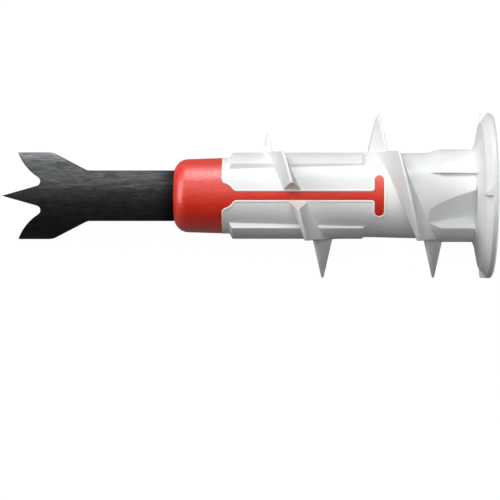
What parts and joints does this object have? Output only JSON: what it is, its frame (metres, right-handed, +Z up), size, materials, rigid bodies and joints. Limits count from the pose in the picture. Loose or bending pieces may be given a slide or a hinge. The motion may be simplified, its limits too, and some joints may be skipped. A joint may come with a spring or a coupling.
{
  "type": "self-drilling plasterboard anchor",
  "caption": "Nylon plasterboard anchor with a coarse interrupted thread and round flange, a red tip holder and a three-point steel drill blade.",
  "frame": {"origin": "centre of the footprint on the surface that the anchor lies on", "axes": "+X along the anchor from the blade's point to the flange, +Y across the blade, +Z up; the anchor lies nose down, its axis tilted 10.7 degrees, on the rear thread flight and the blade's two spurs"},
  "size_m": [0.0448, 0.0148, 0.0166],
  "materials": {
    "blade_steel": "black phosphated sheet steel with fine lengthwise brushing",
    "red_polyamide": "fine grained satin moulding",
    "white_nylon": "smooth satin nylon, slightly translucent"
  },
  "bodies": {
    "root": {"drill_blade": "blade_steel", "tip_holder": "red_polyamide", "anchor_body": "white_nylon"}
  },
  "joints": []
}
